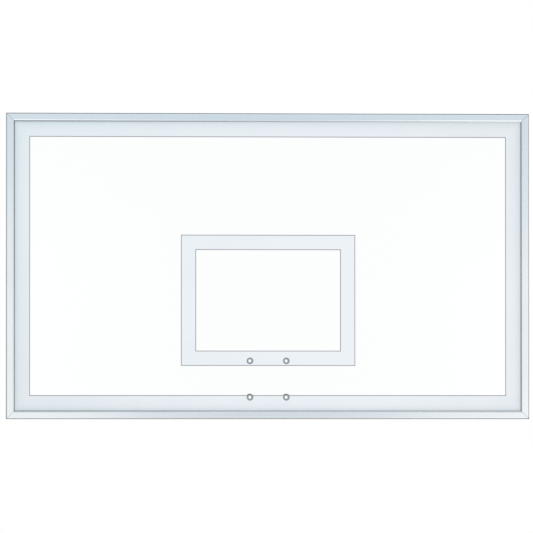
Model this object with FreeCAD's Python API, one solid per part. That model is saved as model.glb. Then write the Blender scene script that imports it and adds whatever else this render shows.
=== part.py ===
import FreeCAD, Part
import math
import os

from FreeCAD import Vector

# Rectangular glass basketball backboard in a mitred aluminium frame, in millimetres.
# +X is to the right seen from the front, +Z is up and the front faces -Y.
# The origin is the centre of the four support holes, on the rear faces of the mounting brackets.
# A section is given as (inward, back): inward from the board's outer edge, back from its front face.

# Board
BOARD_WIDTH = 1828.8
BOARD_HEIGHT = 1066.8

# Frame rail, an extrusion with a glazing channel in front of a closed chamber
RAIL_FACE = 27.0
RAIL_DEPTH = 50.8
RAIL_OUTER_WALL = 4.0
RAIL_WALL = 3.0
LIP_THICKNESS = 4.0
LIP_BEVEL_WIDTH = 4.5
LIP_BEVEL_DROP = 1.5
FRONT_EDGE_RADIUS = 4.0
REAR_EDGE_RADIUS = 1.5
LIP_EDGE_RADIUS = 0.5
CHAMBER_CORNER_RADIUS = 1.0
MITRE_GAP = 0.4

# Glass, its seal and the blocks that carry it
GLASS_THICKNESS = 12.7
GLASS_CORNER_RADIUS = 3.0
GLASS_ARRIS = 1.0
GASKET_LEG = 4.0
GASKET_BASE = 3.0
GASKET_SHOW = 2.2
GASKET_BEAD_RADIUS = 1.6
EDGE_GAP = 3.0
BLOCK_LENGTH = 100.0
BLOCK_SIDE_CLEARANCE = 0.5
SETTING_BLOCK_INSET = 457.2
EDGE_BLOCK_INSET = 228.6

# White markings, fired on the front of the glass
MARKING_THICKNESS = 0.2
MARKING_EDGE_MARGIN = 2.0
MARKING_HOLE_CLEARANCE = 0.6
BORDER_INSET = 83.5
TARGET_WIDTH = 609.6
TARGET_HEIGHT = 457.2
TARGET_STRIPE = 53.0
TARGET_BOTTOM = 185.7

# Goal holes and their bushings
GOAL_SPACING_X = 127.0
GOAL_SPACING_Z = 127.0
GOAL_LOWER_ROW = 76.2
GLASS_HOLE_DIAMETER = 19.05
BUSHING_CLEARANCE = 0.2
BUSHING_BORE = 11.1
BUSHING_FLANGE_LAP = 1.25
BUSHING_FLANGE_THICKNESS = 1.6
BUSHING_EDGE_RADIUS = 0.6
BUSHING_MEETING_GAP = 0.3
RETAINER_FLANGE_LAP = 3.2
RETAINER_FLANGE_THICKNESS = 2.5

# Corner keys in the chambers, and their screws
KEY_LEG = 110.0
KEY_CLEARANCE = 0.2
KEY_WALL = 3.5
KEY_FLOOR = 9.0
KEY_SCREW_END = 18.0
KEY_SCREW_PITCH = 36.0
SCREW_DIAMETER = 5.0
SCREW_REACH = 8.0
SCREW_HOLE_CLEARANCE = 0.25
SCREW_HEAD_DIAMETER = 9.5
SCREW_HEAD_HEIGHT = 3.6
SCREW_HEAD_RIM = 1.4
SCREW_RECESS_WIDTH = 1.3
SCREW_RECESS_SPAN = 5.4
SCREW_RECESS_DEPTH = 2.2
THREAD_CLEARANCE = 0.05

# Mounting brackets, bent from plate and bolted to the side rails
SUPPORT_HOLE_INSET = 50.8
SUPPORT_ROW_INSET = 279.4
SUPPORT_HOLE_DIAMETER = 14.3
BRACKET_PLATE = 6.0
BRACKET_STANDOFF = 25.4
BRACKET_BEND_RADIUS = 4.0
BRACKET_EDGE_MARGIN = 1.5
BRACKET_PAD_LENGTH = 64.0
BRACKET_PAD_NOSE = 20.0
BRACKET_NOSE_RADIUS = 12.0
BRACKET_EAR = 38.0
BRACKET_EAR_RADIUS = 5.0
BRACKET_RELIEF = 3.0
BRACKET_RELIEF_RADIUS = 1.2

# Bracket bolts, their washers and the tapped plates in the chambers
BOLT_DIAMETER = 8.0
BOLT_HEAD_FLATS = 13.0
BOLT_HEAD_HEIGHT = 5.3
BOLT_HEAD_CHAMFER_ANGLE = 30.0
BOLT_HOLE_CLEARANCE = 0.5
BOLT_PAST_PLATE = 3.0
BOLT_TIP_CHAMFER = 0.8
WASHER_DIAMETER = 16.0
WASHER_THICKNESS = 1.6
WASHER_CLEARANCE = 0.2
SPRING_WASHER_DIAMETER = 14.0
SPRING_WASHER_THICKNESS = 2.0
SPRING_WASHER_SPLIT = 1.0
SPRING_WASHER_SLANT = 20.0
TAPPED_PLATE_THICKNESS = 6.0
TAPPED_PLATE_END = 15.0
TAPPED_PLATE_CLEARANCE = 0.5

# Places that follow from the sizes
FRONT_Y = -BRACKET_STANDOFF - RAIL_DEPTH
MARKING_FRONT = LIP_THICKNESS + GASKET_LEG
GLASS_FRONT = MARKING_FRONT + MARKING_THICKNESS
GLASS_REAR = GLASS_FRONT + GLASS_THICKNESS
CHANNEL_REAR = GLASS_REAR + GASKET_LEG
CHAMBER_FRONT = CHANNEL_REAR + RAIL_WALL
CHAMBER_REAR = RAIL_DEPTH - RAIL_WALL
CHAMBER_INNER = RAIL_FACE - RAIL_WALL
CHAMBER_MIDDLE = (RAIL_OUTER_WALL + CHAMBER_INNER) / 2
GASKET_OUTER = RAIL_OUTER_WALL + EDGE_GAP
GASKET_INNER = RAIL_FACE + GASKET_SHOW
GLASS_EDGE = GASKET_OUTER + GASKET_BASE
FOOT_REAR = RAIL_DEPTH + BRACKET_PLATE
EAR_BOLT = (BRACKET_PAD_LENGTH + BRACKET_RELIEF + BRACKET_EAR) / 2
BOLT_SEAT = FOOT_REAR + WASHER_THICKNESS + SPRING_WASHER_THICKNESS

# Each side's length and the size across it, in the order that quarter turns bring them to the bottom edge
SIDES = {
    "bottom": (BOARD_WIDTH, BOARD_HEIGHT),
    "right": (BOARD_HEIGHT, BOARD_WIDTH),
    "top": (BOARD_WIDTH, BOARD_HEIGHT),
    "left": (BOARD_HEIGHT, BOARD_WIDTH),
}
CORNERS = ("bottom_left", "bottom_right", "top_right", "top_left")
SIDE_RAILS = ("left", "right")
ROWS = ("upper", "lower")
Y_AXIS = Vector(0, 1, 0)
ORIGIN = Vector(0, 0, 0)


def rounded_wire(corners, place):
    """Closed wire through (a, b, radius) corners, each rounded by an arc. place(a, b) gives the point."""
    arrivals = []
    leavings = []
    middles = []
    count = len(corners)
    for index, (a, b, radius) in enumerate(corners):
        here = Vector(a, b, 0)
        back = Vector(*corners[index - 1][:2], 0) - here
        ahead = Vector(*corners[(index + 1) % count][:2], 0) - here
        half_angle = back.getAngle(ahead) / 2
        setback = radius / math.tan(half_angle)
        inward = (back.normalize() + ahead.normalize()).normalize()
        arrivals.append(here + back * setback)
        leavings.append(here + ahead * setback)
        middles.append(here + inward * (radius / math.sin(half_angle) - radius))
    edges = []
    for index in range(count):
        arrive = place(arrivals[index].x, arrivals[index].y)
        leave = place(leavings[index].x, leavings[index].y)
        following = arrivals[(index + 1) % count]
        if corners[index][2] > 0:
            middle = place(middles[index].x, middles[index].y)
            edges.append(Part.Arc(arrive, middle, leave).toShape())
        edges.append(Part.makeLine(leave, place(following.x, following.y)))
    return Part.Wire(edges)


def square(corners):
    """The same corners with no rounding."""
    return [(a, b, 0) for a, b in corners]


def bar_along_side(section, start, end, across):
    """A section of (inward, back, radius) corners, carried along the bottom edge from start to end."""
    def place(inward, back):
        return Vector(start, FRONT_Y + back, inward - across / 2)
    return Part.Face(rounded_wire(section, place)).extrude(Vector(end - start, 0, 0))


def plate_on_side(outline, front, rear, across):
    """An outline of (along, inward, radius) corners on the bottom edge, from front to rear."""
    def place(along, inward):
        return Vector(along, FRONT_Y + front, inward - across / 2)
    return Part.Face(rounded_wire(outline, place)).extrude(Y_AXIS * (rear - front))


def rod_on_side(diameter, front, rear, along, inward, across):
    """A round rod along +Y, at a place on the bottom edge."""
    base = Vector(along, FRONT_Y + front, inward - across / 2)
    return Part.makeCylinder(diameter / 2, rear - front, base, Y_AXIS)


def turned_part(profile, x, z):
    """A profile of (radius, back, rounding) corners, turned about the line along +Y through x and z."""
    def place(radius, back):
        return Vector(x + radius, FRONT_Y + back, z)
    face = Part.Face(rounded_wire(profile, place))
    return face.revolve(Vector(x, 0, z), Y_AXIS, 360)


def mitred(bar, length, across, reach):
    """The bar between its two 45 degree mitres, each set back by half of the mitre gap."""
    half = length / 2 - MITRE_GAP / math.sqrt(2)
    trapezium = square([(-half, 0), (half, 0), (half - reach, reach), (reach - half, reach)])
    return bar.common(plate_on_side(trapezium, 0, RAIL_DEPTH, across))


def quarter_turned(shape, names, name):
    """The shape turned about +Y by one quarter for each step along the names."""
    return shape.rotated(ORIGIN, Y_AXIS, -90 * list(names).index(name))


def at_side(shape, side):
    return quarter_turned(shape, SIDES, side)


def way(name, positive_word):
    """1 where the name holds the word for the positive way, and -1 where it doesn't."""
    return 1 if positive_word in name else -1


def board_plate(width, height, radius, front, rear, centre_z):
    """An upright plate with rounded corners, centred on the board's middle line."""
    half = width / 2
    outline = [(-half, -height / 2, radius), (half, -height / 2, radius)]
    outline += [(half, height / 2, radius), (-half, height / 2, radius)]

    def place(x, z):
        return Vector(x, FRONT_Y + front, centre_z + z)
    return Part.Face(rounded_wire(outline, place)).extrude(Y_AXIS * (rear - front))


def with_chamfered_rims(plate, size):
    """The plate with a chamfer round its front and rear faces, which are the ones square to Y."""
    rims = [edge for face in plate.Faces if abs(face.normalAt(0, 0).y) > 0.5 for edge in face.Edges]
    return plate.makeChamfer(size, rims)


def goal_places():
    """(row, side, x, z) of the four goal holes."""
    lower = GOAL_LOWER_ROW - BOARD_HEIGHT / 2
    for row in ROWS:
        z = lower + (GOAL_SPACING_Z if row == "upper" else 0)
        for side in SIDE_RAILS:
            yield row, side, way(side, "right") * GOAL_SPACING_X / 2, z


def goal_rods(diameter, front, rear):
    return [Part.makeCylinder(diameter / 2, rear - front, Vector(x, FRONT_Y + front, z), Y_AXIS)
            for _, _, x, z in goal_places()]


def key_screw_insets():
    """How far a leg's two screws lie from the board's edge, counted back from the leg's end."""
    last = KEY_LEG - KEY_SCREW_END
    return last - KEY_SCREW_PITCH, last


def key_screw_places(length, end):
    """Places of the key screws at one end of a side."""
    return [end * (length / 2 - inset) for inset in key_screw_insets()]


def bracket_middle(side, row):
    """Place of a support hole along its side rail, before the rail is turned."""
    return way(side, "right") * way(row, "upper") * (BOARD_HEIGHT / 2 - SUPPORT_ROW_INSET)


def bracket_bolt_places(side, row):
    """Places of a bracket's two bolts along its side rail, before the rail is turned."""
    for ear in (-1, 1):
        yield bracket_middle(side, row) + ear * EAR_BOLT


def make_rail(side):
    """A mitred rail with its chamber, the key screws' holes and, on the side rails, the bolts' holes."""
    length, across = SIDES[side]
    half = length / 2
    section = [
        (0, 0, FRONT_EDGE_RADIUS),
        (RAIL_FACE - LIP_BEVEL_WIDTH, 0, LIP_EDGE_RADIUS),
        (RAIL_FACE, LIP_BEVEL_DROP, LIP_EDGE_RADIUS),
        (RAIL_FACE, LIP_THICKNESS, LIP_EDGE_RADIUS),
        (RAIL_OUTER_WALL, LIP_THICKNESS, 0),
        (RAIL_OUTER_WALL, CHANNEL_REAR, 0),
        (RAIL_FACE, CHANNEL_REAR, LIP_EDGE_RADIUS),
        (RAIL_FACE, RAIL_DEPTH, REAR_EDGE_RADIUS),
        (0, RAIL_DEPTH, REAR_EDGE_RADIUS),
    ]
    chamber = [
        (RAIL_OUTER_WALL, CHAMBER_FRONT, CHAMBER_CORNER_RADIUS),
        (CHAMBER_INNER, CHAMBER_FRONT, CHAMBER_CORNER_RADIUS),
        (CHAMBER_INNER, CHAMBER_REAR, CHAMBER_CORNER_RADIUS),
        (RAIL_OUTER_WALL, CHAMBER_REAR, CHAMBER_CORNER_RADIUS),
    ]
    bar = bar_along_side(section, -half, half, across)
    bar = bar.cut(bar_along_side(chamber, -half, half, across))
    bar = mitred(bar, length, across, RAIL_FACE)
    screw_hole = SCREW_DIAMETER + 2 * SCREW_HOLE_CLEARANCE
    holes = [rod_on_side(screw_hole, CHAMBER_REAR, RAIL_DEPTH, place, CHAMBER_MIDDLE, across)
             for end in (-1, 1) for place in key_screw_places(length, end)]
    if side in SIDE_RAILS:
        bolt_hole = BOLT_DIAMETER + 2 * BOLT_HOLE_CLEARANCE
        holes += [rod_on_side(bolt_hole, CHAMBER_REAR, RAIL_DEPTH, place, CHAMBER_MIDDLE, across)
                  for row in ROWS for place in bracket_bolt_places(side, row)]
    return at_side(bar.cut(holes), side)


def make_gasket(side):
    """A mitred channel seal, with a rounded bead along each leg that shows beside the rail."""
    length, across = SIDES[side]
    section = [
        (GASKET_OUTER, LIP_THICKNESS, 0),
        (GASKET_INNER, LIP_THICKNESS, GASKET_BEAD_RADIUS),
        (GASKET_INNER, MARKING_FRONT, 0),
        (GLASS_EDGE, MARKING_FRONT, 0),
        (GLASS_EDGE, GLASS_REAR, 0),
        (GASKET_INNER, GLASS_REAR, 0),
        (GASKET_INNER, CHANNEL_REAR, GASKET_BEAD_RADIUS),
        (GASKET_OUTER, CHANNEL_REAR, 0),
    ]
    bar = bar_along_side(section, -length / 2, length / 2, across)
    return at_side(mitred(bar, length, across, GASKET_INNER), side)


def make_blocks(side, inset):
    """Two blocks between the glazing channel's floor and the seal, inset from the rail's ends."""
    length, across = SIDES[side]
    front = LIP_THICKNESS + BLOCK_SIDE_CLEARANCE
    rear = CHANNEL_REAR - BLOCK_SIDE_CLEARANCE
    blocks = []
    for end in (-1, 1):
        middle = end * (length / 2 - inset)
        section = square([(RAIL_OUTER_WALL, front), (GASKET_OUTER, front),
                          (GASKET_OUTER, rear), (RAIL_OUTER_WALL, rear)])
        block = bar_along_side(section, middle - BLOCK_LENGTH / 2, middle + BLOCK_LENGTH / 2, across)
        blocks.append(at_side(block, side))
    return blocks


def make_glass():
    """The pane, with its corners rounded, its edges dubbed and the goal holes drilled."""
    width = BOARD_WIDTH - 2 * GLASS_EDGE
    height = BOARD_HEIGHT - 2 * GLASS_EDGE
    pane = board_plate(width, height, GLASS_CORNER_RADIUS, GLASS_FRONT, GLASS_REAR, 0)
    pane = with_chamfered_rims(pane, GLASS_ARRIS)
    return pane.cut(goal_rods(GLASS_HOLE_DIAMETER, GLASS_FRONT, GLASS_REAR))


def marking_ring(width, height, stripe, centre_z):
    """A flat rectangular stripe on the glass, cut clear of the bushings' flanges."""
    ring = board_plate(width, height, 0, MARKING_FRONT, GLASS_FRONT, centre_z)
    inner_width = width - 2 * stripe
    inner_height = height - 2 * stripe
    ring = ring.cut(board_plate(inner_width, inner_height, 0, MARKING_FRONT, GLASS_FRONT, centre_z))
    clear = GLASS_HOLE_DIAMETER + 2 * (BUSHING_FLANGE_LAP + MARKING_HOLE_CLEARANCE)
    return ring.cut(goal_rods(clear, MARKING_FRONT, GLASS_FRONT))


def make_border_stripe():
    outer = GLASS_EDGE + MARKING_EDGE_MARGIN
    return marking_ring(BOARD_WIDTH - 2 * outer, BOARD_HEIGHT - 2 * outer, BORDER_INSET - outer, 0)


def make_target_stripe():
    centre_z = TARGET_BOTTOM + (TARGET_HEIGHT - BOARD_HEIGHT) / 2
    return marking_ring(TARGET_WIDTH, TARGET_HEIGHT, TARGET_STRIPE, centre_z)


def make_bushing(x, z):
    """A flanged sleeve pressed in from the front of the glass."""
    bore = BUSHING_BORE / 2
    sleeve = GLASS_HOLE_DIAMETER / 2 - BUSHING_CLEARANCE
    flange = GLASS_HOLE_DIAMETER / 2 + BUSHING_FLANGE_LAP
    face = GLASS_FRONT - BUSHING_FLANGE_THICKNESS
    tip = (GLASS_FRONT + GLASS_REAR - BUSHING_MEETING_GAP) / 2
    profile = [(bore, face, 0), (flange, face, BUSHING_EDGE_RADIUS),
               (flange, GLASS_FRONT, 0), (sleeve, GLASS_FRONT, 0), (sleeve, tip, 0), (bore, tip, 0)]
    return turned_part(profile, x, z)


def make_retainer(x, z):
    """The flanged sleeve that meets the bushing from the rear of the glass."""
    bore = BUSHING_BORE / 2
    sleeve = GLASS_HOLE_DIAMETER / 2 - BUSHING_CLEARANCE
    flange = GLASS_HOLE_DIAMETER / 2 + RETAINER_FLANGE_LAP
    face = GLASS_REAR + RETAINER_FLANGE_THICKNESS
    tip = (GLASS_FRONT + GLASS_REAR + BUSHING_MEETING_GAP) / 2
    profile = [(bore, tip, 0), (sleeve, tip, 0), (sleeve, GLASS_REAR, 0), (flange, GLASS_REAR, 0),
               (flange, face, BUSHING_EDGE_RADIUS), (bore, face, BUSHING_EDGE_RADIUS)]
    return turned_part(profile, x, z)


def make_corner_key(corner):
    """A cast right-angle key, seated on the chambers' rear walls, with pockets open to the front."""
    near = RAIL_OUTER_WALL + KEY_CLEARANCE
    far = CHAMBER_INNER - KEY_CLEARANCE
    front = CHAMBER_FRONT + KEY_CLEARANCE

    def prism(outline, start, end):
        wire = rounded_wire(outline, lambda x, z: Vector(x, FRONT_Y + start, z))
        return Part.Face(wire).extrude(Y_AXIS * (end - start))

    outline = square([(near, near), (KEY_LEG, near), (KEY_LEG, far),
                      (far, far), (far, KEY_LEG), (near, KEY_LEG)])
    key = with_chamfered_rims(prism(outline, front, CHAMBER_REAR), CHAMBER_CORNER_RADIUS)
    first = far + KEY_WALL
    last = KEY_LEG - KEY_WALL
    pocket_length = (last - first - KEY_WALL) / 2
    cuts = []
    for start in (first, last - pocket_length):
        low, high = start, start + pocket_length
        side_low, side_high = near + KEY_WALL, far - KEY_WALL
        pocket = [(low, side_low), (high, side_low), (high, side_high), (low, side_high)]
        cuts.append(prism(square(pocket), front, CHAMBER_REAR - KEY_FLOOR))
        cuts.append(prism(square([(z, x) for x, z in pocket]), front, CHAMBER_REAR - KEY_FLOOR))
    thread = SCREW_DIAMETER / 2 + THREAD_CLEARANCE
    for along in key_screw_insets():
        for x, z in ((along, CHAMBER_MIDDLE), (CHAMBER_MIDDLE, along)):
            base = Vector(x, FRONT_Y + CHAMBER_REAR - KEY_FLOOR, z)
            cuts.append(Part.makeCylinder(thread, KEY_FLOOR, base, Y_AXIS))
    key = quarter_turned(key.cut(cuts), CORNERS, corner)
    corner_x = way(corner, "right") * BOARD_WIDTH / 2
    corner_z = way(corner, "top") * BOARD_HEIGHT / 2
    return key.translated(Vector(corner_x, 0, corner_z))


def make_screw(along, across):
    """A pan-head screw with a cross recess, driven from the rear of a rail into a key."""
    z = CHAMBER_MIDDLE - across / 2
    shank = SCREW_DIAMETER / 2
    head = SCREW_HEAD_DIAMETER / 2
    tip = CHAMBER_REAR - SCREW_REACH
    crown = RAIL_DEPTH + SCREW_HEAD_HEIGHT
    rim = RAIL_DEPTH + SCREW_HEAD_RIM
    rise = SCREW_HEAD_HEIGHT - SCREW_HEAD_RIM
    dome_radius = (head * head + rise * rise) / (2 * rise)
    shoulder = head * math.sqrt(0.5)
    shoulder_back = crown - dome_radius + math.sqrt(dome_radius * dome_radius - shoulder * shoulder)

    def place(radius, back):
        return Vector(along + radius, FRONT_Y + back, z)

    outline = [(0, crown), (0, tip), (shank, tip), (shank, RAIL_DEPTH), (head, RAIL_DEPTH), (head, rim)]
    points = [place(*corner) for corner in outline]
    edges = [Part.makeLine(start, end) for start, end in zip(points, points[1:])]
    edges.append(Part.Arc(points[-1], place(shoulder, shoulder_back), points[0]).toShape())
    screw = Part.Face(Part.Wire(edges)).revolve(Vector(along, 0, z), Y_AXIS, 360)
    long, short = SCREW_RECESS_SPAN, SCREW_RECESS_WIDTH
    for size_x, size_z in ((long, short), (short, long)):
        base = Vector(along - size_x / 2, FRONT_Y + crown - SCREW_RECESS_DEPTH, z - size_z / 2)
        screw = screw.cut(Part.makeBox(size_x, SCREW_RECESS_DEPTH, size_z, base))
    return screw


def make_key_screws(corner):
    """The four screws of a corner key, at the start of one side and at the end of the side before it."""
    sides = list(SIDES)
    number = CORNERS.index(corner)
    screws = []
    for side, end in ((sides[number], -1), (sides[number - 1], 1)):
        length, across = SIDES[side]
        screws += [at_side(make_screw(place, across), side) for place in key_screw_places(length, end)]
    return screws


def make_bracket(side, row):
    """A bent plate: two ears bolted to the rail, and a pad stepped back to the mounting plane."""
    _, across = SIDES[side]
    middle = bracket_middle(side, row)
    half_pad = BRACKET_PAD_LENGTH / 2
    ear_start = half_pad + BRACKET_RELIEF
    ear_end = half_pad + BRACKET_EAR
    low = BRACKET_EDGE_MARGIN
    riser_inner = RAIL_FACE - BRACKET_EDGE_MARGIN
    riser_outer = riser_inner - BRACKET_PLATE
    outer_bend = BRACKET_BEND_RADIUS + BRACKET_PLATE
    bend_start = riser_inner - outer_bend
    nose = SUPPORT_HOLE_INSET + BRACKET_PAD_NOSE
    pad_rear = RAIL_DEPTH + BRACKET_STANDOFF
    pad_front = pad_rear - BRACKET_PLATE

    step = [
        (low, RAIL_DEPTH, 0), (riser_inner, RAIL_DEPTH, outer_bend),
        (riser_inner, pad_front, BRACKET_BEND_RADIUS), (nose, pad_front, 0),
        (nose, pad_rear, 0), (riser_outer, pad_rear, outer_bend),
        (riser_outer, FOOT_REAR, BRACKET_BEND_RADIUS), (low, FOOT_REAR, 0),
    ]
    ear = square([(low, RAIL_DEPTH), (riser_inner, RAIL_DEPTH), (riser_inner, FOOT_REAR), (low, FOOT_REAR)])
    blank = bar_along_side(step, middle - half_pad, middle + half_pad, across)
    blank = blank.fuse([
        bar_along_side(ear, middle - ear_end, middle - half_pad, across),
        bar_along_side(ear, middle + half_pad, middle + ear_end, across),
    ])
    right_half = [
        (ear_end, low, BRACKET_EAR_RADIUS), (ear_end, riser_inner, BRACKET_EAR_RADIUS),
        (ear_start, riser_inner, 0), (ear_start, bend_start, BRACKET_RELIEF_RADIUS),
        (half_pad, bend_start, BRACKET_RELIEF_RADIUS), (half_pad, nose, BRACKET_NOSE_RADIUS),
    ]
    outline = [(middle + along, inward, radius) for along, inward, radius in right_half]
    outline += [(middle - along, inward, radius) for along, inward, radius in reversed(right_half)]
    bracket = blank.common(plate_on_side(outline, RAIL_DEPTH, pad_rear, across))
    bolt_hole = BOLT_DIAMETER + 2 * BOLT_HOLE_CLEARANCE
    holes = [rod_on_side(bolt_hole, RAIL_DEPTH, FOOT_REAR, place, CHAMBER_MIDDLE, across)
             for place in bracket_bolt_places(side, row)]
    holes.append(rod_on_side(SUPPORT_HOLE_DIAMETER, pad_front, pad_rear, middle, SUPPORT_HOLE_INSET, across))
    return at_side(bracket.cut(holes).removeSplitter(), side)


def make_tapped_plate(side, row):
    """A tapped plate on the chamber's rear wall, which the bracket's two bolts screw into."""
    _, across = SIDES[side]
    middle = bracket_middle(side, row)
    half = EAR_BOLT + TAPPED_PLATE_END
    front = CHAMBER_REAR - TAPPED_PLATE_THICKNESS
    low = RAIL_OUTER_WALL + TAPPED_PLATE_CLEARANCE
    high = CHAMBER_INNER - TAPPED_PLATE_CLEARANCE
    round_edge = CHAMBER_CORNER_RADIUS
    section = [(low, front, round_edge), (high, front, round_edge),
               (high, CHAMBER_REAR, round_edge), (low, CHAMBER_REAR, round_edge)]
    plate = bar_along_side(section, middle - half, middle + half, across)
    thread = BOLT_DIAMETER + 2 * THREAD_CLEARANCE
    holes = [rod_on_side(thread, front, CHAMBER_REAR, place, CHAMBER_MIDDLE, across)
             for place in bracket_bolt_places(side, row)]
    return at_side(plate.cut(holes), side)


def make_bolt(along, across):
    """A hexagon bolt with a chamfered head and tip."""
    z = CHAMBER_MIDDLE - across / 2
    head_end = BOLT_SEAT + BOLT_HEAD_HEIGHT
    corner_radius = BOLT_HEAD_FLATS / math.sqrt(3)
    hexagon = []
    for number in range(6):
        angle = math.radians(60 * number)
        hexagon.append(Vector(along + corner_radius * math.cos(angle), FRONT_Y + BOLT_SEAT,
                              z + corner_radius * math.sin(angle)))
    head = Part.Face(Part.makePolygon(hexagon + hexagon[:1])).extrude(Y_AXIS * BOLT_HEAD_HEIGHT)
    flats = BOLT_HEAD_FLATS / 2
    chamfer = (corner_radius - flats) * math.tan(math.radians(BOLT_HEAD_CHAMFER_ANGLE))
    cone = square([(0, BOLT_SEAT), (corner_radius, BOLT_SEAT), (corner_radius, head_end - chamfer),
                   (flats, head_end), (0, head_end)])
    head = head.common(turned_part(cone, along, z))
    shank = BOLT_DIAMETER / 2
    tip = CHAMBER_REAR - TAPPED_PLATE_THICKNESS - BOLT_PAST_PLATE
    stem = square([(0, tip), (shank - BOLT_TIP_CHAMFER, tip), (shank, tip + BOLT_TIP_CHAMFER),
                   (shank, BOLT_SEAT), (0, BOLT_SEAT)])
    return head.fuse(turned_part(stem, along, z)).removeSplitter()


def bolt_ring(diameter, front, rear, along, across):
    """A flat ring round a bracket bolt."""
    hole = BOLT_DIAMETER + 2 * WASHER_CLEARANCE
    ring = rod_on_side(diameter, front, rear, along, CHAMBER_MIDDLE, across)
    return ring.cut(rod_on_side(hole, front, rear, along, CHAMBER_MIDDLE, across))


def make_washer(along, across):
    return bolt_ring(WASHER_DIAMETER, FOOT_REAR, FOOT_REAR + WASHER_THICKNESS, along, across)


def make_spring_washer(along, across):
    """A split washer, drawn flat as it lies under a tightened bolt, with a slanted split."""
    front = FOOT_REAR + WASHER_THICKNESS
    ring = bolt_ring(SPRING_WASHER_DIAMETER, front, BOLT_SEAT, along, across)
    reach = SPRING_WASHER_DIAMETER
    z = CHAMBER_MIDDLE - across / 2
    middle = FRONT_Y + (front + BOLT_SEAT) / 2
    base = Vector(along - SPRING_WASHER_SPLIT / 2, middle - reach / 2, z)
    split = Part.makeBox(SPRING_WASHER_SPLIT, reach, reach, base)
    split = split.rotated(Vector(along, middle, z), Vector(0, 0, 1), SPRING_WASHER_SLANT)
    return ring.cut(split)


def on_bracket_bolts(make, side, row):
    """One piece for each of a bracket's two bolts."""
    _, across = SIDES[side]
    return [at_side(make(place, across), side) for place in bracket_bolt_places(side, row)]


def export(node, *shapes):
    shape = shapes[0] if len(shapes) == 1 else Part.makeCompound(list(shapes))
    assert all(solid.isValid() for solid in shape.Solids), node
    shape.exportStep("parts/" + node + ".step")
    print(node, len(shape.Solids), round(shape.Volume / 1000, 2), "cm3")


os.makedirs("parts", exist_ok=True)
export("glass_panel", make_glass())
export("border_stripe", make_border_stripe())
export("target_stripe", make_target_stripe())
for side in SIDES:
    export(side + "_rail", make_rail(side))
    export(side + "_gasket", make_gasket(side))
export("setting_blocks", *make_blocks("bottom", SETTING_BLOCK_INSET))
export("edge_blocks", *make_blocks("left", EDGE_BLOCK_INSET), *make_blocks("right", EDGE_BLOCK_INSET))
for corner in CORNERS:
    export("corner_key_" + corner, make_corner_key(corner))
    export("corner_key_screws_" + corner, *make_key_screws(corner))
for row, side, x, z in goal_places():
    export("goal_bushing_" + row + "_" + side, make_bushing(x, z))
    export("bushing_retainer_" + row + "_" + side, make_retainer(x, z))
for row in ROWS:
    for side in SIDE_RAILS:
        place = row + "_" + side
        export("mount_bracket_" + place, make_bracket(side, row))
        export("tapped_plate_" + place, make_tapped_plate(side, row))
        export("bracket_bolts_" + place, *on_bracket_bolts(make_bolt, side, row))
        export("bracket_washers_" + place, *on_bracket_bolts(make_washer, side, row))
        export("bracket_spring_washers_" + place, *on_bracket_bolts(make_spring_washer, side, row))
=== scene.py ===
import math

import bpy
import numpy as np
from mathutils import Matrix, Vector
from mathutils.geometry import tessellate_polygon


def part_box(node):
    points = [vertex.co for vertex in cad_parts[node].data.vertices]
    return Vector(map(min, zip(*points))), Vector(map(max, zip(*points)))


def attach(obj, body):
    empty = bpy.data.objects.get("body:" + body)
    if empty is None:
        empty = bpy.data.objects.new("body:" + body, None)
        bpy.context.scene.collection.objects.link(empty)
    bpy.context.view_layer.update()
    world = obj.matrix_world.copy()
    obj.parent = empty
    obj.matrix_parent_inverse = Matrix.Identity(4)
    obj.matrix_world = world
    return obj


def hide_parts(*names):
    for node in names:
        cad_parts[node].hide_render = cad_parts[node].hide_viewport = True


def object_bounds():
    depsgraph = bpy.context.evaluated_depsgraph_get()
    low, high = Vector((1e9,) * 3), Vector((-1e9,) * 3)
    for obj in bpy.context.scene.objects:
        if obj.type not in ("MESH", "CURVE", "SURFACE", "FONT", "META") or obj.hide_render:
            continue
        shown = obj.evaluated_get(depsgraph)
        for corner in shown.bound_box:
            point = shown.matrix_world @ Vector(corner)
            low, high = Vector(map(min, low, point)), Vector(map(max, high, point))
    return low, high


bl_info = {
    "name": "Glass Basketball Backboard",
    "version": (1, 0, 0),
    "blender": (4, 5, 0),
    "location": "View3D > Sidebar > Backboard",
    "description": "Makes and finishes the pieces of a framed glass backboard, and a studio to show it in",
    "category": "Object",
}

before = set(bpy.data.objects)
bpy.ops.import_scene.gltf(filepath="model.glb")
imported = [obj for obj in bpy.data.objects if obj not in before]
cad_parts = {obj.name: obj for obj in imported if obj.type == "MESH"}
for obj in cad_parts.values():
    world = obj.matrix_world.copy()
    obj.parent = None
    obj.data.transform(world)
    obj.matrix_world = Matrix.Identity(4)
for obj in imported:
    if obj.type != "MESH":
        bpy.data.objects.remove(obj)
CAD_LOW, CAD_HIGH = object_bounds()

# Places taken from the frame, in metres: inward from the board's outer edge, or back from its front face
HALF_WIDTH = CAD_HIGH.x
HALF_HEIGHT = CAD_HIGH.z
FRONT = CAD_LOW.y


def inward_and_back(node):
    """Where a piece along the bottom edge starts and ends: inward from that edge, and back from the front."""
    low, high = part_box(node)
    return low.z + HALF_HEIGHT, high.z + HALF_HEIGHT, low.y - FRONT, high.y - FRONT


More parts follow.
